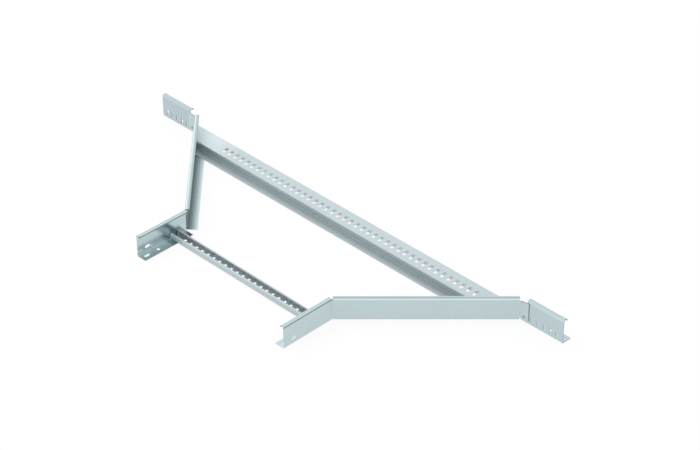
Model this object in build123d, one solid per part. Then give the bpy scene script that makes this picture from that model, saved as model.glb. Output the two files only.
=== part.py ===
from build123d import *
from math import cos, radians, sin, tan, sqrt
import os

# Branch tee for cable ladder: it takes a branch off the side of a straight run.
# X runs along the main run, +Y points into it, Z is up.
# X = 0 is the middle of the branch, Y = 0 the outer faces of the end plates,
# Z = 0 the underside of the side rails.

# Driving dimensions in millimetres
sheet = 1.5  # thickness of every folded sheet
fold_radius = 1.5  # inside radius of every fold
branch_width = 495.0  # over the outer faces of the two legs
mouth_width = 1090.0  # over the outer corners where the rails meet the main run
leg_length = 150.0  # straight part of a side rail, along the branch
flare_angle = 45.0  # slope of a side rail between leg and main run, in degrees

side_height = 60.0  # height of a side rail
rail_flange = 28.0  # bottom flange of a side rail
rail_lip = 11.0  # top lip of a side rail
lip_curl = 4.0  # turned-down edge of every top lip

tab_length = 25.0  # tab at the end of a side rail, past its corner
tab_foot = 4.5  # lower edge of the tab above the underside
tab_top = 52.5  # upper edge of the tab at the rail's corner
tab_rise = 6.0  # how far that edge climbs towards the tab's outer edge
tab_round = 5.0  # upper outer corner of the tab
tab_foot_round = 6.0  # lower outer corner of the tab

plate_reach = 125.0  # end of an end plate, past the rail's corner
plate_height = 63.5  # height of an end plate
plate_flange = 28.0  # bottom flange of an end plate
plate_lip = 12.0  # top lip of an end plate
plate_lean_height = 5.5  # leaning strip of the web below the top lip
plate_lean = 1.5  # how far that strip leans back
plate_start = 3.0  # from the rail's corner to the plate's inner end
plate_step = 19.0  # from the rail's corner to where the top lip begins
plate_back_top = 51.0  # upper edge of the plate behind the tab

plate_slot_count = 5
plate_slot_pitch = 18.25
plate_slot_width = 7.0
plate_slot_length = 17.0
plate_slot_level = 16.0  # centre above the underside
plate_slot_margin = 18.0  # from the last slot's centre to the plate's end
plate_foot_slot_length = 15.0  # slot in the plate's flange, below the slots' middle
plate_foot_slot_width = 8.5
plate_foot_slot_inset = 16.0  # from the plate's outer face

leg_slot_length = 15.0  # slot in a leg's web, along the leg
leg_slot_width = 7.5
leg_slot_level = 15.0
leg_slot_setback = 30.0  # centre from the leg's front end
foot_hole_diameter = 8.5  # round hole in a leg's flange
foot_hole_inset = 14.0  # from the web's outer face
foot_hole_setback = 52.0
foot_slot_length = 16.0  # slot in a leg's flange, along the leg
foot_slot_width = 7.0
foot_slot_setback = 17.0

junction_height = 21.0  # wide rung across the mouth
junction_top_width = 54.5
junction_rear = 11.0  # its rear wall, into the main run
junction_foot = 23.0  # front foot, lying outwards on the rails' flanges
junction_lip = 12.0  # rear lip, turned back under the top

branch_rung_width = 28.0  # lipped channel, open upwards
branch_rung_height = 15.0
branch_rung_lip = 5.5
branch_rung_setback = 99.0  # its front wall from the legs' front ends

rung_slot_pitch = 20.0  # slots across both rungs
rung_slot_width = 8.5
rung_slot_cut = 1.5  # cut corners of these slots
junction_slot_length = 20.0
junction_slot_shift = 4.0  # towards the front from the middle of the top
junction_slot_inset = 109.0  # from the rung's left end to the first slot's centre
junction_slot_margin = 90.0  # least distance from the last one to the right end
branch_slot_length = 20.0
branch_slot_shift = 4.0  # towards the left from the middle of the rung
branch_slot_margin = 30.0  # least distance from a slot's centre to the rung's end

rung_end_gap = 2.0  # clearance between a rung's end and a rail's web

rivet_diameter = 5.0  # rivet through tab and end plate
rivet_clearance = 0.05  # around the shank, per side
rivet_head_diameter = 8.0
rivet_head_height = 1.4
rivet_tail_diameter = 7.5
rivet_tail_height = 2.2
rivet_bore = 2.6  # open bore left in the head
rivet_bore_depth = 1.8
rivet_setback = 12.0  # centre from the rail's corner
rivet_level = 14.5

# Derived places
half_branch = branch_width / 2
half_mouth = mouth_width / 2
flare_run = half_mouth - half_branch
flare_depth = flare_run * tan(radians(90 - flare_angle))
mouth_y = -sheet
throat_y = mouth_y - flare_depth
front_y = throat_y - leg_length
fold_edge = fold_radius + sheet
middle_radius = fold_radius + sheet / 2
half_turn = tan(radians(flare_angle / 2))
fold_setback = fold_edge * half_turn
flare_length = sqrt(flare_run**2 + flare_depth**2)
flare_way = Vector(sin(radians(flare_angle)), cos(radians(flare_angle)), 0)
leg_way = Vector(0, 1, 0)
leg_foot = Vector(half_branch, front_y, 0)
throat = Vector(half_branch, throat_y, 0)
mouth = Vector(half_mouth, mouth_y, 0)
rung_base = sheet
drill = 3 * sheet


def folded_section(*points):
    """Section of a folded sheet, from the corners of its middle line."""
    middle = FilletPolyline(*points, radius=middle_radius)
    return trace(middle, line_width=sheet)


def along(section, start, way, length):
    """Section carried from start along way; its x points to the left of the way."""
    left = Vector(0, 0, 1).cross(way)
    frame = Plane(origin=start, x_dir=left, z_dir=way)
    return extrude(frame * section, amount=length)


def slot_cutter(frame, length, width):
    """Cutter for a round-ended slot along the frame's x, through one sheet."""
    return extrude(frame * SlotOverall(length, width), amount=drill / 2, both=True)


def hole_cutter(frame, diameter):
    """Cutter for a round hole through one sheet."""
    return extrude(frame * Circle(diameter / 2), amount=drill / 2, both=True)


def rail_section():
    """Web with a bottom flange and a curled top lip, x inwards, y up."""
    half = sheet / 2
    return folded_section(
        (rail_lip - half, side_height - lip_curl),
        (rail_lip - half, side_height - half),
        (half, side_height - half),
        (half, half),
        (rail_flange, half),
    )


def web_corner(before, corner, after, low, high):
    """Upright strip of web bent round a corner, given on the outer face."""
    path = FilletPolyline(before, corner, after, radius=middle_radius)
    strip = trace(path, line_width=sheet)
    return Pos(0, 0, low) * extrude(strip, amount=high - low)


def throat_corner():
    """Bend between leg and flare, where lip and flange are notched away."""
    half = sheet / 2
    corner = throat + Vector(-half, half * half_turn, 0)
    reach = fold_setback + sheet
    before = corner - leg_way * reach
    after = corner + flare_way * reach
    return web_corner(before, corner, after, fold_edge, side_height - fold_edge)


def tab_slope():
    """Cutter above the climbing upper edge of the tab."""
    outer_x = half_mouth + 2 * tab_length
    outline = Polyline(
        (half_mouth - tab_length, tab_top),
        (half_mouth, tab_top),
        (outer_x, tab_top + 2 * tab_rise),
        (outer_x, 2 * side_height),
        (half_mouth - tab_length, 2 * side_height),
        close=True,
    )
    frame = Plane(origin=(0, 0, 0), x_dir=(1, 0, 0), z_dir=(0, -1, 0))
    return extrude(frame * make_face(outline), amount=tab_length, both=True)


def end_tab():
    """Bend at the mouth and the flat tab past it, with rounded outer corners."""
    half = sheet / 2
    corner = mouth + Vector(-half * half_turn, half, 0)
    before = corner - flare_way * (fold_setback + sheet)
    after = corner + Vector(tab_length + half * half_turn, 0, 0)
    tab = web_corner(before, corner, after, tab_foot, side_height) - tab_slope()
    ends = tab.edges().filter_by(Axis.Y).group_by(Axis.X)[-1].sort_by(Axis.Z)
    tab = fillet(ends[-1], tab_round)
    ends = tab.edges().filter_by(Axis.Y).group_by(Axis.X)[-1].sort_by(Axis.Z)
    return fillet(ends[0], tab_foot_round)


def leg_cutters():
    """Slot in a leg's web, and a slot and a round hole in its flange."""
    web = Plane(
        origin=(half_branch - sheet / 2, front_y + leg_slot_setback, leg_slot_level),
        x_dir=(0, 1, 0),
        z_dir=(1, 0, 0),
    )
    row_x = half_branch - foot_hole_inset
    slot = Plane(
        origin=(row_x, front_y + foot_slot_setback, sheet / 2),
        x_dir=(0, 1, 0),
        z_dir=(0, 0, 1),
    )
    hole = Plane(origin=(row_x, front_y + foot_hole_setback, sheet / 2))
    return [
        slot_cutter(web, leg_slot_length, leg_slot_width),
        slot_cutter(slot, foot_slot_length, foot_slot_width),
        hole_cutter(hole, foot_hole_diameter),
    ]


def rivet_hole():
    """Hole shared by tab and end plate, on the rivet's axis."""
    frame = Plane(
        origin=(half_mouth + rivet_setback, 0, rivet_level),
        x_dir=(1, 0, 0),
        z_dir=(0, -1, 0),
    )
    return hole_cutter(frame, rivet_diameter + 2 * rivet_clearance)


def side_rail():
    """Right side rail: leg, flare and tab folded from one sheet."""
    section = rail_section()
    leg = along(section, leg_foot, leg_way, leg_length - fold_setback)
    flare = along(
        section,
        throat + flare_way * fold_setback,
        flare_way,
        flare_length - 2 * fold_setback,
    )
    rail = leg + flare + throat_corner() + end_tab()
    for cutter in leg_cutters():
        rail -= cutter
    return rail - rivet_hole()


def plate_run(section, start_x, end_x):
    """Section of the right end plate carried between two places along X."""
    run = along(section, Vector(end_x, 0, 0), Vector(-1, 0, 0), end_x - start_x)
    return mirror(run, about=Plane.XZ)


def plate_cutters(last_x):
    """Upright slots in the plate's web, and one slot in its flange."""
    half = sheet / 2
    cutters = []
    for number in range(plate_slot_count):
        frame = Plane(
            origin=(last_x - number * plate_slot_pitch, half, plate_slot_level),
            x_dir=(0, 0, 1),
            z_dir=(0, 1, 0),
        )
        cutters.append(slot_cutter(frame, plate_slot_length, plate_slot_width))
    middle_x = last_x - (plate_slot_count - 1) * plate_slot_pitch / 2
    foot = Plane(origin=(middle_x, plate_foot_slot_inset, half))
    cutters.append(slot_cutter(foot, plate_foot_slot_length, plate_foot_slot_width))
    return cutters


def end_plate():
    """Right end plate: a channel that takes the main run's side rail."""
    half = sheet / 2
    foot = [(half, half), (plate_flange, half)]
    channel = folded_section(
        (plate_lip - half, plate_height - lip_curl),
        (plate_lip - half, plate_height - half),
        (plate_lean + half, plate_height - half),
        (half, plate_height - plate_lean_height),
        *foot,
    )
    back = folded_section((half, plate_back_top), *foot)
    start_x = half_mouth + plate_start
    step_x = half_mouth + plate_step
    end_x = half_mouth + plate_reach
    plate = plate_run(channel, step_x, end_x) + plate_run(back, start_x, step_x)
    for cutter in plate_cutters(end_x - plate_slot_margin):
        plate -= cutter
    return plate - rivet_hole()


def rivet():
    """Right rivet: bevelled head in front of the tab, set tail behind the plate."""
    shank = rivet_diameter / 2
    head = rivet_head_diameter / 2
    tail = rivet_tail_diameter / 2
    bore = rivet_bore / 2
    front = sheet + rivet_head_height
    back = -sheet - rivet_tail_height
    shoulder = sheet + rivet_head_height / 3
    outline = Polyline(
        (0, back),
        (tail, back),
        (tail, -sheet),
        (shank, -sheet),
        (shank, sheet),
        (head, sheet),
        (head, shoulder),
        ((head + bore) / 2, front),
        (bore, front),
        (bore, front - rivet_bore_depth),
        (0, front - rivet_bore_depth),
        close=True,
    )
    turned = revolve(make_face(outline), axis=Axis.Y)
    return Pos(half_mouth + rivet_setback, 0, rivet_level) * Rot(Z=180) * turned


def slot_count(room):
    """How many slots one pitch apart fit between centres that far apart."""
    return int(room // rung_slot_pitch) + 1


def rung_slots(start_x, count, centre_y, level, length):
    """Row of slots across a rung, one pitch apart along X."""
    outline = Rectangle(rung_slot_width, length)
    outline = chamfer(outline.vertices(), rung_slot_cut)
    cutters = []
    for number in range(count):
        place = Pos(start_x + number * rung_slot_pitch, centre_y, level)
        cutters.append(extrude(place * outline, amount=drill / 2, both=True))
    return cutters


def junction_rung():
    """Wide slotted rung across the mouth, its ends cut along the flares."""
    half = sheet / 2
    low = rung_base + half
    high = rung_base + junction_height - half
    front = junction_rear - junction_top_width
    section = folded_section(
        (front - junction_foot, low),
        (front + half, low),
        (front + half, high),
        (junction_rear - half, high),
        (junction_rear - half, low),
        (junction_rear - junction_lip, low),
    )
    web_gap = (sheet + rung_end_gap) / cos(radians(flare_angle))
    slope = tan(radians(flare_angle))

    def end_x(y):
        return half_mouth + (y - mouth_y) * slope - web_gap

    near = front - junction_foot - sheet
    far = junction_rear + sheet
    frame = Plane(origin=(-end_x(far), 0, 0), x_dir=(0, 1, 0), z_dir=(1, 0, 0))
    blank = extrude(frame * section, amount=2 * end_x(far))
    plan = make_face(
        Polyline(
            (-end_x(near), near),
            (end_x(near), near),
            (end_x(far), far),
            (-end_x(far), far),
            close=True,
        )
    )
    rung = blank & extrude(plan, amount=side_height)
    centre_y = (front + junction_rear) / 2 - junction_slot_shift
    start_x = junction_slot_inset - end_x(centre_y)
    count = slot_count(end_x(centre_y) - junction_slot_margin - start_x)
    for cutter in rung_slots(start_x, count, centre_y, high, junction_slot_length):
        rung -= cutter
    return rung


def branch_rung():
    """Lipped channel across the legs, open upwards, slotted in its floor."""
    half = sheet / 2
    low = rung_base + half
    high = rung_base + branch_rung_height - half
    front = front_y + branch_rung_setback
    rear = front + branch_rung_width
    section = folded_section(
        (front + branch_rung_lip, high),
        (front + half, high),
        (front + half, low),
        (rear - half, low),
        (rear - half, high),
        (rear - branch_rung_lip, high),
    )
    length = branch_width - 2 * (sheet + rung_end_gap)
    frame = Plane(origin=(-length / 2, 0, 0), x_dir=(0, 1, 0), z_dir=(1, 0, 0))
    rung = extrude(frame * section, amount=length)
    count = slot_count(length - 2 * branch_slot_margin)
    start_x = -(count - 1) * rung_slot_pitch / 2 - branch_slot_shift
    centre_y = (front + rear) / 2
    for cutter in rung_slots(start_x, count, centre_y, low, branch_slot_length):
        rung -= cutter
    return rung


def save(shape, node):
    """Writes one piece to its STEP file."""
    export_step(shape, f"parts/{node}.step")


os.makedirs("parts", exist_ok=True)
right_rail = side_rail()
right_plate = end_plate()
right_rivet = rivet()
save(right_rail, "right_side_rail")
save(mirror(right_rail, about=Plane.YZ), "left_side_rail")
save(right_plate, "right_end_plate")
save(mirror(right_plate, about=Plane.YZ), "left_end_plate")
save(Compound(children=[right_rivet, mirror(right_rivet, about=Plane.YZ)]), "plate_rivets")
save(junction_rung(), "junction_rung")
save(branch_rung(), "branch_rung")
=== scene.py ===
# %% [markdown]
# This lesson dresses a branch tee for cable ladder: two folded side rails, two end plates,
# two slotted rungs and two rivets, all of galvanised steel. The pieces arrive finished in
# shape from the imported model, so the work here is the finish of the metal, the light and
# the camera. A galvanised sheet could be a painted picture of spangles, but a formula on
# the piece's own coordinates has no seams and no fixed resolution, so that way was chosen.

# %% Load the frame
import bpy
import math
import numpy as np
from mathutils import Matrix, Vector


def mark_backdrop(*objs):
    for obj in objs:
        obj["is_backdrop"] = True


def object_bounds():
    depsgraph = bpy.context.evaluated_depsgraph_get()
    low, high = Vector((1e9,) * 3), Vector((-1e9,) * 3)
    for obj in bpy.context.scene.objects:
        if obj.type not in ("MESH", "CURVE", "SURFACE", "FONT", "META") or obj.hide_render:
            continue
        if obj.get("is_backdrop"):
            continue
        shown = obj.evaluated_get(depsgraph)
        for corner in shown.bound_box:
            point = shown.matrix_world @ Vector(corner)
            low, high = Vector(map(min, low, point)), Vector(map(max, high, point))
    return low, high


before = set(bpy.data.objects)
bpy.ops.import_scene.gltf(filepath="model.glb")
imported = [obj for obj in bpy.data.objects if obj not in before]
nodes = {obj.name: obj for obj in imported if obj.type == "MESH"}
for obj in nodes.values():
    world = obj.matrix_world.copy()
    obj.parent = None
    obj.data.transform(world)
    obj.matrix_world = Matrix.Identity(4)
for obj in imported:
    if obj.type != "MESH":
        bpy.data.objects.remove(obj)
cad_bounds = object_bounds()
print("pieces:", ", ".join(sorted(nodes)))

# %% [markdown]
# Shader maths reads best as plain expressions. A small class wraps one socket and turns
# each Python operator into a Math node, also when the number stands on the left, so that
# 1 - mask works. Nodes could also be placed and wired one by one, but then a formula of
# ten terms fills a page.


# %% A wrapped socket
class Value:
    """One output socket; operators on it add Math nodes to the same tree."""

    def __init__(self, maker, socket):
        self.maker = maker
        self.socket = socket

    def __add__(self, other):
        return self.maker.math("ADD", self, other)

    def __radd__(self, other):
        return self.maker.math("ADD", other, self)

    def __sub__(self, other):
        return self.maker.math("SUBTRACT", self, other)

    def __rsub__(self, other):
        return self.maker.math("SUBTRACT", other, self)

    def __mul__(self, other):
        return self.maker.math("MULTIPLY", self, other)

    def __rmul__(self, other):
        return self.maker.math("MULTIPLY", other, self)

    def __pow__(self, other):
        return self.maker.math("POWER", self, other)

    def __abs__(self):
        return self.maker.math("ABSOLUTE", self)


# %% [markdown]
# Every other node comes from one method that takes the node's type, its settings and the
# values or links of its sockets. On top of it stand a few short helpers. The most used is
# the ramp, which turns a distance into a soft mask; a reversed ramp gives the opposite
# mask, and two of them make a band.


# %% A material builder
class Finish:
    """A material under construction, with its Principled shader."""

    def __init__(self, name):
        self.material = bpy.data.materials.new(name)
        self.material.use_nodes = True
        self.tree = self.material.node_tree
        self.shader = self.tree.nodes["Principled BSDF"]

    def node(self, kind, settings=None, out=0, **inputs):
        """Adds a node; settings come first, then each named socket gets a value or link."""
        made = self.tree.nodes.new(kind)
        for key, value in (settings or {}).items():
            setattr(made, key, value)
        for key, value in inputs.items():
            self.feed(made.inputs[int(key[1:]) if key[1:].isdigit() else key], value)
        return Value(self, made.outputs[out])

    def feed(self, socket, value):
        """Links a wrapped socket, or writes a plain value."""
        if isinstance(value, Value):
            self.tree.links.new(value.socket, socket)
        else:
            socket.default_value = value

    def set(self, **sockets):
        """Feeds the Principled shader; underscores stand for spaces."""
        for key, value in sockets.items():
            self.feed(self.shader.inputs[key.replace("_", " ")], value)

    def math(self, operation, first, second=None):
        """One Math node; a missing second operand leaves its socket alone."""
        operands = {"_0": first} if second is None else {"_0": first, "_1": second}
        return self.node("ShaderNodeMath", {"operation": operation}, **operands)

    def larger(self, first, second):
        """The larger of two values, which joins two masks."""
        return self.math("MAXIMUM", first, second)

    def between(self, share, first, second):
        """Number that goes from first to second as share goes from 0 to 1."""
        return first + share * (second - first)

    def ramp(self, value, low, high, bottom=0.0, top=1.0):
        """Straight ramp from bottom at low to top at high, level beyond both."""
        inputs = {"Value": value, "From Min": low, "From Max": high}
        inputs.update({"To Min": bottom, "To Max": top})
        return self.node("ShaderNodeMapRange", {"clamp": True}, **inputs)

    def band(self, value, low, high, soft):
        """1 from low to high, falling to 0 within soft inside both ends."""
        return self.ramp(value, low, low + soft) * self.ramp(value, high, high - soft)

    def parts(self, vector):
        """The x, y and z of a vector as three values."""
        split = self.tree.nodes.new("ShaderNodeSeparateXYZ")
        self.feed(split.inputs[0], vector)
        return [Value(self, split.outputs[axis]) for axis in range(3)]

    def scaled(self, vector, factor):
        """A vector or colour times one value."""
        settings = {"operation": "SCALE"}
        return self.node("ShaderNodeVectorMath", settings, _0=vector, Scale=factor)

    def blend(self, factor, first, second):
        """Colour mix from first to second by factor."""
        settings = {"data_type": "RGBA"}
        return self.node("ShaderNodeMix", settings, out=2, Factor=factor, _6=first, _7=second)

    def place(self):
        """Object coordinates of the shaded point, in metres."""
        return self.node("ShaderNodeTexCoord", out=3)

    def facing(self):
        """Normal of the face in the object's own axes."""
        return self.node("ShaderNodeTexCoord", out=1)

    def level(self, up):
        """1 on faces that look up, 0 on those that stand upright or look down."""
        return self.ramp(up, 0.5, 0.9)


# %% [markdown]
# Hot-dip galvanising leaves crystals of zinc, a few millimetres across, that differ a little in
# tone and in how they scatter light. Voronoi cells give the crystals their borders and one
# random tone each. A slow noise adds the cloudy drift of a dipped sheet, and a fine one the
# grain that breaks up a reflection. On top of this, each kind of piece gives its coat a shade,
# worked out from the place and the facing of a point. This shade is painted light and shade:
# painted shade and painted highlights along folds, free edges and cut edges, and across webs,
# lips, flanges and tops. The tones were tuned to the photograph, so these shades stand in for
# its light and shade rather than for the zinc; only the rivets keep one even tone.

# %% Galvanised sheet
MM = 0.001
CLOUD_SCALE = 9.0
GRAIN_SCALE = 900.0
CRYSTAL_SHARE = 0.55
CRYSTAL_DULLNESS = 0.10
CLOUD_DULLNESS = 0.05
BUMP_DEPTH = 0.4 * MM


def zinc(name, tone, shade, cell=6 * MM, contrast=0.02, roughness=0.2):
    """Zinc coat; shade gives the colour at a point with any painted light and shade, its share
    of metal and its dullness.
    """
    coat = Finish(name)
    place = coat.place()
    cells = coat.node(
        "ShaderNodeTexVoronoi", {"feature": "F1"}, out=1, Vector=place, Scale=1 / cell
    )
    crystal = coat.node("ShaderNodeSeparateColor", Color=cells)
    cloud = coat.node(
        "ShaderNodeTexNoise", Vector=place, Scale=CLOUD_SCALE, Detail=3.0, Roughness=0.55
    )
    grain = coat.node(
        "ShaderNodeTexNoise", Vector=place, Scale=GRAIN_SCALE, Detail=2.0, Roughness=0.6
    )
    bump = coat.node(
        "ShaderNodeBump", Strength=0.02, Distance=BUMP_DEPTH, Height=grain + 0.5 * crystal
    )
    mix = CRYSTAL_SHARE * crystal + (1 - CRYSTAL_SHARE) * coat.ramp(cloud, 0.3, 0.7)
    drift = (1 - contrast) + 2 * contrast * mix
    colour, metal, dullness = shade(coat, tone)
    uneven = CRYSTAL_DULLNESS * crystal - CLOUD_DULLNESS * cloud
    coat.set(Base_Color=coat.scaled(colour, drift), Metallic=metal, Normal=bump)
    coat.set(Roughness=roughness + uneven + dullness)
    return coat.material


def wear(material, *names):
    """Puts one material on CAD nodes, in place of what they came with."""
    for name in names:
        mesh = nodes[name].data
        mesh.materials.clear()
        mesh.materials.append(material)
        print(name, "wears", material.name)


# %% [markdown]
# A side rail is one long folded sheet, so its painted light and shade follow the distance from
# its outer face: first the web, then the lip above or the flange below. That distance is
# measured from the straight leg or from the flare, whichever is larger, and the left rail is
# the mirror image of the right one. A map on the unfolded sheet would give the same bands, but
# the two distances need no unfolding.

# %% Where a point lies on a side rail
HALF_BRANCH = 247.5 * MM
HALF_MOUTH = 545.0 * MM
THROAT_Y = -299.0 * MM
LEG_FRONT = -449.0 * MM
TAB_LENGTH = 25.0 * MM
SIDE_HEIGHT = 60.0 * MM
SLANT = math.sqrt(0.5)
print("legs", 2 * HALF_BRANCH, "m apart outside, mouth", 2 * HALF_MOUTH, "m wide")


class RailPlace:
    """Distances and masks of a point on a rail, which the rest of its shade is made of."""

    def __init__(self, coat):
        x, self.y, self.z = coat.parts(coat.place())
        self.up = coat.parts(coat.facing())[2]
        leg_depth = HALF_BRANCH - abs(x)
        flare_depth = SLANT * (leg_depth + (self.y - THROAT_Y))
        self.depth = coat.larger(leg_depth, flare_depth)
        self.below_top = SIDE_HEIGHT - self.z
        self.beyond = abs(x) - HALF_MOUTH
        self.right = coat.ramp(x, -1 * MM, 1 * MM)
        self.flare = coat.ramp(self.y, THROAT_Y, THROAT_Y + 4 * MM)
        self.level = coat.level(self.up)
        self.high = coat.ramp(self.z, SIDE_HEIGHT - 8 * MM, SIDE_HEIGHT - 4 * MM)


# %% [markdown]
# All of these bands are painted light and shade. The web is even outside, and inside it has
# painted light near the flange and painted shade higher up. The leg's lip has a painted shade
# along its middle. On the left flare the lip has a painted highlight along its fold and on the
# right flare along its free edge. The flare's flange has painted shade in the fold and painted
# light at its free edge. The leg's flange goes the other way, with a painted shadow behind the
# narrow rung and painted light on the right.

# %% Painted light and shade across the rail
# Painted light and shade on the inner web.
INSIDE_WEB = (1.0 * MM, 1.6 * MM)
LOW_WEB = (12 * MM, 28 * MM)
WEB_LOW_PAINTED_LIGHT = 1.08
WEB_HIGH_PAINTED_SHADE = 0.95

# Painted light and shade on the lips.
LEG_LIP_PAINTED_LIGHT = 1.12
LEG_LIP_PAINTED_SHADE = 0.22
LEG_LIP_SHADE_SPAN = (2.9 * MM, 6.5 * MM)
LEFT_LIP_SPAN = (2 * MM, 7 * MM)
LEFT_FLARE_LIP_PAINTED_LIGHT = (1.6, 0.90)
RIGHT_LIP_SPAN = (4 * MM, 9 * MM)
RIGHT_FLARE_LIP_PAINTED_LIGHT = (0.78, 1.15)

# Painted shade and light on the flanges, and a painted shadow behind the narrow rung.
LEG_FLANGE_SPAN = (8 * MM, 18 * MM)
LEG_FLANGE_PAINTED_SHADE = (0.92, 0.74)
LEG_FLANGE_RIGHT_PAINTED_LIGHT = 0.36
BEHIND_RUNG_SHADOW_SPAN = (-325 * MM, -320 * MM)
BEHIND_RUNG_PAINTED_SHADOW = 0.32
FLARE_FLANGE_SPAN = (4 * MM, 25 * MM)
FLARE_FLANGE_FOLD_PAINTED_SHADE = 0.40
FLARE_FLANGE_PAINTED_LIGHT = 1.05
FLARE_FLANGE_CURVE = 1.4


def rail_web_painted_light(coat, at):
    """1 outside; inside a ramp of painted light and shade by height."""
    inner = coat.ramp(at.z, *LOW_WEB, WEB_LOW_PAINTED_LIGHT, WEB_HIGH_PAINTED_SHADE)
    return coat.between(coat.ramp(at.depth, *INSIDE_WEB), 1.0, inner)


def rail_lip_painted_light(coat, at):
    """Painted light and shade on the lip: ramps by depth, one for the leg and one for either
    flare.
    """
    leg = LEG_LIP_PAINTED_LIGHT - LEG_LIP_PAINTED_SHADE * coat.band(at.depth, *LEG_LIP_SHADE_SPAN, 1 * MM)
    left = coat.ramp(at.depth, *LEFT_LIP_SPAN, *LEFT_FLARE_LIP_PAINTED_LIGHT)
    right = coat.ramp(at.depth, *RIGHT_LIP_SPAN, *RIGHT_FLARE_LIP_PAINTED_LIGHT)
    return coat.between(at.flare, leg, coat.between(at.right, left, right))


def rail_flange_painted_shade(coat, at):
    """Painted shade in the fold plus painted light * share**curve on the flare; on the leg a
    short ramp of painted shade, with painted light on the right and a painted shadow behind the
    narrow rung.
    """
    share = coat.ramp(at.depth, *FLARE_FLANGE_SPAN)
    flare = FLARE_FLANGE_FOLD_PAINTED_SHADE + FLARE_FLANGE_PAINTED_LIGHT * share**FLARE_FLANGE_CURVE
    leg = coat.ramp(at.depth, *LEG_FLANGE_SPAN, *LEG_FLANGE_PAINTED_SHADE)
    leg = leg + LEG_FLANGE_RIGHT_PAINTED_LIGHT * at.right
    leg = leg - BEHIND_RUNG_PAINTED_SHADOW * coat.ramp(at.y, *BEHIND_RUNG_SHADOW_SPAN)
    return coat.between(at.flare, leg, flare)


# %% [markdown]
# Folds and cut edges are what makes a sheet look like a sheet. A painted line runs just below
# the top, where the web turns into the lip: painted shade on the legs and a painted highlight
# on the flares, with painted shade on a crest above it on the left flare. The lip's turned-down
# edge has painted shade, and so have the cut edges of tab and lip. Each line is a band of the
# depth or the height, a few millimetres wide at most.

# %% Painted lines along the rail
# Painted shade or highlight along the fold, painted shade on the crest and the turned-down
# edge.
OUTER_SKIN = (1.4 * MM, 0.9 * MM)
FOLD_SPAN = (1.0 * MM, 4.8 * MM)
FOLD_LEG_PAINTED_SHADE = -0.66
FOLD_FLARE_PAINTED_HIGHLIGHT = 0.36
CREST_BELOW_TOP = (3.0 * MM, 2.4 * MM)
CREST_DEPTH = (1.3 * MM, 0.7 * MM)
CREST_PAINTED_SHADE = 0.8
CURL_HEIGHT = (55 * MM, 56 * MM)
CURL_DEPTH = (9.8 * MM, 10.4 * MM)
CURL_PAINTED_SHADE = 0.5

# Painted shadow along the tabs' edges and painted shade at the cut ends of the lips.
TAB_TOP = 52.5 * MM
TAB_SLOPE = 6 / 25
TAB_RIM_PAINTED_SHADOW = 0.40
LIP_END_PAINTED_SHADE = 0.45


def rail_painted_lines(coat, at):
    """1 plus the fold's painted line, less painted shade on the left flare's crest and the
    turned-down edge.
    """
    fold = coat.band(at.below_top, *FOLD_SPAN, 1 * MM) * coat.ramp(at.depth, *OUTER_SKIN)
    crest = coat.ramp(at.below_top, *CREST_BELOW_TOP) * coat.ramp(at.depth, *CREST_DEPTH)
    crest = crest * at.flare * (1 - at.right)
    curl = coat.ramp(at.z, *CURL_HEIGHT) * coat.ramp(at.depth, *CURL_DEPTH)
    curl = curl * (1 - at.level)
    line = 1 + fold * coat.between(at.flare, FOLD_LEG_PAINTED_SHADE, FOLD_FLARE_PAINTED_HIGHLIGHT)
    return line - CURL_PAINTED_SHADE * curl - CREST_PAINTED_SHADE * crest


def tab_rim_painted_shadow(coat, at):
    """Mask of painted shadow along the upper edge of a tab, and the upright edge of the right
    one.
    """
    upper = TAB_TOP + TAB_SLOPE * at.beyond
    top = coat.ramp(at.z - upper, -1.8 * MM, -1.2 * MM)
    side = at.right * coat.ramp(at.beyond, TAB_LENGTH - 1.4 * MM, TAB_LENGTH - 0.9 * MM)
    rim = coat.larger(coat.larger(top, coat.ramp(at.up, 0.4, 0.7)), side)
    return coat.ramp(at.beyond, 0.5 * MM, 2 * MM) * rim


def lip_end_painted_shade(coat, at):
    """Mask of painted shade at the cut end of a leg's lip, at its free edge."""
    front = coat.ramp(at.y, LEG_FRONT + 3 * MM, LEG_FRONT + 2 * MM)
    return front * coat.ramp(at.z, 52 * MM, 54 * MM) * coat.ramp(at.depth, 7 * MM, 8 * MM)


# %% [markdown]
# The painted bands and lines of light and shade meet in one factor on the rail's tone. The
# sheet is nearly all metal, so that it mirrors its neighbours, and the flare's flange is made
# duller, which blurs that reflection.

# %% Side rails
RAIL_TONE = (0.53, 0.64, 0.66)
RAIL_METAL = 0.95
FLARE_FLANGE_DULLNESS = 0.3


def rail_painted_shade(coat, tone):
    """Painted light and shade: web, or flange and lip on level faces, times the painted lines
    and the painted shade of the cut edges.
    """
    at = RailPlace(coat)
    flat = coat.between(at.high, rail_flange_painted_shade(coat, at), rail_lip_painted_light(coat, at))
    factor = coat.between(at.level, rail_web_painted_light(coat, at), flat) * rail_painted_lines(coat, at)
    factor = factor * (1 - TAB_RIM_PAINTED_SHADOW * tab_rim_painted_shadow(coat, at)) * (1 - LIP_END_PAINTED_SHADE * lip_end_painted_shade(coat, at))
    dullness = FLARE_FLANGE_DULLNESS * at.flare * at.level * (1 - at.high)
    return coat.scaled(tone, factor), RAIL_METAL, dullness


wear(zinc("zinc rail", RAIL_TONE, rail_painted_shade), "left_side_rail", "right_side_rail")

# %% [markdown]
# An end plate is a channel that hooks over the main ladder. Its web is even, with painted shade
# on the left plate. The lip has painted light, which on the left plate changes towards the
# edge. The leaning strip below the lip has a painted highlight, and the lip's free edge painted
# shade. The walls of the punched slots and the cut tips of the lip have painted shade. The same
# kind of bands as on the rails gives all that painted light and shade, here by height and by
# distance from the web.

# %% End plates
PLATE_TONE = (0.505, 0.61, 0.64)
PLATE_METAL = 0.95
PLATE_END = 670.0 * MM
PLATE_STEP = 564.0 * MM
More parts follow.
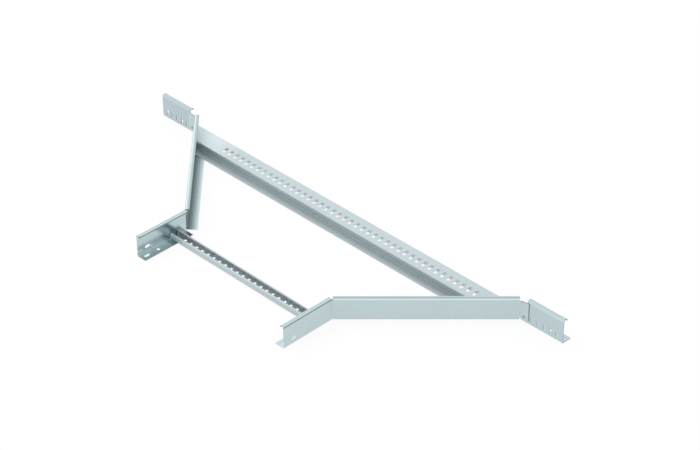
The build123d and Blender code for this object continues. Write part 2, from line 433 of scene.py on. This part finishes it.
# Painted shade on the left plate's web, painted light on the lip and leaning strip, painted
# shade on slot walls and tips.
LEFT_PLATE_PAINTED_SHADE = 0.93
LEAN_HEIGHT = (57 * MM, 58.5 * MM)
LEAN_PAINTED_HIGHLIGHT = 0.14
PLATE_LIP_PAINTED_LIGHT = 1.06
LIP_HEIGHT = (50 * MM, 58 * MM)
LIP_EDGE = (6.5 * MM, 9 * MM)
LIP_EDGE_PAINTED_SHADE = 0.14
LEFT_PLATE_LIP_PAINTED_LIGHT = (2 * MM, 6 * MM, -0.10, 0.08)
SLOT_WALL_PAINTED_SHADE = 0.6
TIP_PAINTED_SHADE = 0.7


def plate_lip_painted_light(coat, x, y, z):
    """Painted light on the lip, with a ramp towards the edge on the left plate and painted
    shade at the edge on both.
    """
    left = coat.ramp(x, 1 * MM, -1 * MM)
    high = coat.ramp(z, *LIP_HEIGHT)
    rise = high * left * coat.ramp(y, *LEFT_PLATE_LIP_PAINTED_LIGHT)
    return PLATE_LIP_PAINTED_LIGHT + rise - LIP_EDGE_PAINTED_SHADE * high * coat.ramp(y, *LIP_EDGE)


def plate_tip_painted_shade(coat, x, y, z):
    """Mask of painted shade at the cut end of the lip that looks towards +X, on either plate.
    """
    right_end = coat.ramp(x, PLATE_END - 3 * MM, PLATE_END - 2 * MM)
    left_end = coat.ramp(x, -PLATE_STEP - 3 * MM, -PLATE_STEP - 2 * MM)
    left_end = left_end * coat.ramp(x, 1 * MM, 0)
    edge = coat.ramp(y, 7 * MM, 8 * MM) * coat.ramp(z, 56 * MM, 58 * MM)
    return edge * coat.larger(right_end, left_end)


def plate_painted_shade(coat, tone):
    """Painted light and shade: web or level faces, plus the leaning strip's painted highlight,
    times painted shade on slot walls and tips.
    """
    x, y, z = coat.parts(coat.place())
    out_x, _, up = coat.parts(coat.facing())
    level = coat.level(up)
    web = 1 + (LEFT_PLATE_PAINTED_SHADE - 1) * coat.ramp(x, 1 * MM, -1 * MM)
    lean = (1 - level) * coat.ramp(z, *LEAN_HEIGHT)
    factor = coat.between(level, web, plate_lip_painted_light(coat, x, y, z)) + LEAN_PAINTED_HIGHLIGHT * lean
    factor = factor * (1 - SLOT_WALL_PAINTED_SHADE * coat.ramp(abs(out_x), 0.5, 0.8))
    factor = factor * (1 - TIP_PAINTED_SHADE * plate_tip_painted_shade(coat, x, y, z))
    return coat.scaled(tone, factor), PLATE_METAL, 0.0


wear(zinc("zinc plate", PLATE_TONE, plate_painted_shade), "left_end_plate", "right_end_plate")

# %% [markdown]
# The wide rung is a folded strip with painted light on its top, strongest at the left end,
# painted shade on its front wall, and painted shade on its foot that fades away from its fold.
# Through its slots one sees the hollow below, where light bounces many times and would turn too
# dark and too blue. So the hollow is painted paler, as painted light that stands in for the
# light it lacks, and is all metal, while the outside is mostly matt.

# %% Wide rung
RUNG_TONE = (0.48, 0.56, 0.58)
RUNG_METAL = 0.3
WIDE_FOOT = 23 * MM
WIDE_FRONT = -43.5 * MM
WIDE_REAR = 11.0 * MM
# Painted light on the top and its left end, painted shade on the foot and the front wall.
TOP_PAINTED_LIGHT = 1.09
TOP_LEFT_PAINTED_LIGHT = 0.28
TOP_LEFT_SPAN = (-0.38, -0.47)
FOOT_INNER_PAINTED_SHADE = 0.70
FOOT_OUTER_PAINTED_SHADE = 0.92
FOOT_CURVE = 1.5
FRONT_WALL_PAINTED_SHADE = 0.84
# Paler colour of the hollow: painted light that stands in for the light it lacks.
HOLLOW_PAINTED_LIGHT = (0.88, 0.91, 0.92, 1.0)
HOLLOW_TOP = (21.6 * MM, 21.2 * MM)


def wide_hollow(coat, y, z):
    """1 inside the hat section, behind the front wall and below the top."""
    behind = 1 - coat.ramp(y, WIDE_FRONT + 1 * MM, WIDE_FRONT)
    inside = behind * coat.ramp(z, *HOLLOW_TOP)
    return inside * coat.ramp(y, WIDE_REAR - 0.4 * MM, WIDE_REAR - 0.8 * MM)


def wide_painted_shade(coat, tone):
    """Painted light on the top, painted shade on the foot and walls by height and facing, and
    the hollow's painted light.
    """
    x, y, z = coat.parts(coat.place())
    _, out_y, up = coat.parts(coat.facing())
    top = TOP_PAINTED_LIGHT + TOP_LEFT_PAINTED_LIGHT * coat.ramp(x, *TOP_LEFT_SPAN)
    away = coat.ramp(y, WIDE_FRONT, WIDE_FRONT - WIDE_FOOT)
    foot = FOOT_INNER_PAINTED_SHADE + (FOOT_OUTER_PAINTED_SHADE - FOOT_INNER_PAINTED_SHADE) * away**FOOT_CURVE
    flat = coat.between(coat.ramp(z, 12 * MM, 18 * MM), foot, top)
    wall = 1 + (FRONT_WALL_PAINTED_SHADE - 1) * coat.ramp(out_y, -0.5, -0.8)
    outside = coat.between(coat.level(up), wall, flat)
    hollow = wide_hollow(coat, y, z)
    colour = coat.blend(hollow, coat.scaled(tone, outside), HOLLOW_PAINTED_LIGHT)
    return colour, RUNG_METAL + (1 - RUNG_METAL) * hollow, 0.0


wear(zinc("zinc wide rung", RUNG_TONE, wide_painted_shade, roughness=0.3), "junction_rung")

# %% [markdown]
# The narrow rung is a lipped channel, open upwards. Its lips have a painted highlight, less on
# the rear lip, its inside painted shade, and its floor the darkest painted shade. It is matt
# enough that it hardly mirrors the rails.

# %% Narrow rung
NARROW_FRONT = -350.0 * MM
NARROW_REAR = -322.0 * MM
NARROW_OUTSIDE = 0.98
# Painted highlight on the lips, painted shade inside and on the floor.
NARROW_LIP_PAINTED_HIGHLIGHT = 0.13
REAR_LIP_PAINTED_SHADE = 0.08
NARROW_INSIDE_PAINTED_SHADE = 0.84
NARROW_FLOOR_PAINTED_SHADE = -0.1


def narrow_painted_shade(coat, tone):
    """Outside and the lips' painted highlight, then painted shade inside by depth from the
    front wall and by height.
    """
    _, y, z = coat.parts(coat.place())
    up = coat.parts(coat.facing())[2]
    inside = coat.ramp(y, NARROW_FRONT + 1.2 * MM, NARROW_FRONT + 1.6 * MM)
    inside = inside * coat.ramp(z, 16 * MM, 14.8 * MM)
    floor = coat.ramp(z, 4.5 * MM, 3.5 * MM)
    rear = coat.ramp(y, NARROW_REAR - 8 * MM, NARROW_REAR - 6 * MM)
    outside = NARROW_OUTSIDE + coat.level(up) * (NARROW_LIP_PAINTED_HIGHLIGHT - REAR_LIP_PAINTED_SHADE * rear)
    factor = coat.between(inside, outside, NARROW_INSIDE_PAINTED_SHADE + floor * NARROW_FLOOR_PAINTED_SHADE)
    return coat.scaled(tone, factor), RUNG_METAL, 0.0


wear(zinc("zinc narrow rung", RUNG_TONE, narrow_painted_shade, roughness=0.42), "branch_rung")

# %% [markdown]
# The rivets are taken as plated parts, with finer crystals and a darker tone than the
# sheet. They are small, so one even tone is enough for them.

# %% Rivets
RIVET_TONE = (0.40, 0.46, 0.48)
RIVET_METAL = 0.8


def rivet_shade(coat, tone):
    """The same tone and metal all over."""
    return tone, RIVET_METAL, 0.0


plating = zinc("zinc rivet", RIVET_TONE, rivet_shade, cell=2 * MM, roughness=0.35)
wear(plating, "plate_rivets")

# %% [markdown]
# The photograph has a plain white ground with no horizon. One large flat floor lies under
# the rails. Most of what is seen of it, straight or in a reflection, is plain white, and
# the rest is a matt surface, so that the part still leaves a soft shadow where it rests.


# %% Floor
def plain_floor(half_size, shadow_share):
    """Square of side 2 * half_size at the part's underside, white with a faint shadow."""
    corners = half_size * np.array([(-1, -1), (1, -1), (1, 1), (-1, 1)], float)
    points = np.column_stack([corners, np.full(4, cad_bounds[0][2])])
    mesh = bpy.data.meshes.new("floor")
    mesh.from_pydata(points.tolist(), [], [(0, 1, 2, 3)])
    mesh.materials.append(white_ground(shadow_share))
    floor = bpy.data.objects.new("floor", mesh)
    bpy.context.scene.collection.objects.link(floor)
    print("floor", 2 * half_size, "m wide")
    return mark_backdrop(floor)


def white_ground(shadow_share):
    """White where it is seen, and matt for the light that falls on the part."""
    ground = Finish("pale floor")
    ground.set(Base_Color=(0.95, 0.95, 0.95, 1.0), Roughness=1.0)
    path = ground.tree.nodes.new("ShaderNodeLightPath")
    camera_ray = Value(ground, path.outputs["Is Camera Ray"])
    glossy_ray = Value(ground, path.outputs["Is Glossy Ray"])
    through_ray = Value(ground, path.outputs["Is Transmission Ray"])
    seen = ground.math("MINIMUM", camera_ray + glossy_ray + through_ray, 1.0)
    white = ground.node("ShaderNodeEmission", Color=(1, 1, 1, 1), Strength=1.0)
    matt = Value(ground, ground.shader.outputs[0])
    mixed = ground.node("ShaderNodeMixShader", Fac=seen * (1 - shadow_share), _1=matt, _2=white)
    output = ground.tree.nodes["Material Output"]
    ground.feed(output.inputs["Surface"], mixed)
    return ground.material


plain_floor(half_size=12.0, shadow_share=0.12)

# %% [markdown]
# The light is that of a white room: an even white sky from every side, which is also the
# background, and one large soft lamp from the upper left, which makes the upper faces a
# little brighter. The lamp is left out of reflections, where it would be a bright patch
# on the metal.


# %% Light
def even_sky(strength):
    """World light that is white and the same from every side."""
    world = bpy.data.worlds.new("white room")
    world.use_nodes = True
    back = world.node_tree.nodes["Background"]
    back.inputs["Color"].default_value = (1, 1, 1, 1)
    back.inputs["Strength"].default_value = strength
    bpy.context.scene.world = world
    print("sky strength", strength)


def soft_lamp(name, place, aim, size, power):
    """Square area lamp at place, pointing at aim."""
    data = bpy.data.lights.new(name, "AREA")
    data.shape = "SQUARE"
    data.size = size
    data.energy = power
    way = Vector(aim) - Vector(place)
    turn = way.to_track_quat("-Z", "Y").to_matrix().to_4x4()
    lamp = bpy.data.objects.new(name, data)
    lamp.matrix_world = Matrix.Translation(place) @ turn
    lamp.visible_glossy = False
    bpy.context.scene.collection.objects.link(lamp)
    print(name, "lamp,", power, "W")


even_sky(strength=1.0)
soft_lamp("upper left", place=(-2.4, -1.2, 3.2), aim=(0, -0.2, 0), size=2.5, power=40)

# %% [markdown]
# The photograph was taken from far away with a long lens, looking along the flare of the
# left rail. The turn of 45 degrees is taken as given. The height, the distance, the aim and
# the focal length were found by matching lines and slots of the part.

# %% Camera
TURN = math.radians(45.0)
HEIGHT = math.radians(34.99)
DISTANCE = 5.3017
AIM = Vector((0.04290, -0.03805, 0.02955))
FOCAL_PIXELS = 2247.7
PICTURE_WIDTH = 700
SENSOR = 36.0

back = Vector((
    math.cos(HEIGHT) * math.sin(TURN),
    -math.cos(HEIGHT) * math.cos(TURN),
    math.sin(HEIGHT),
))
lens = bpy.data.cameras.new("view")
lens.sensor_width = SENSOR
lens.lens = SENSOR * FOCAL_PIXELS / PICTURE_WIDTH
camera = bpy.data.objects.new("view", lens)
turn = (-back).to_track_quat("-Z", "Y").to_matrix().to_4x4()
camera.matrix_world = Matrix.Translation(AIM + DISTANCE * back) @ turn
bpy.context.scene.collection.objects.link(camera)
bpy.context.scene.camera = camera
bpy.context.scene.view_settings.view_transform = "Standard"
print("camera at", tuple(round(c, 4) for c in camera.matrix_world.translation))
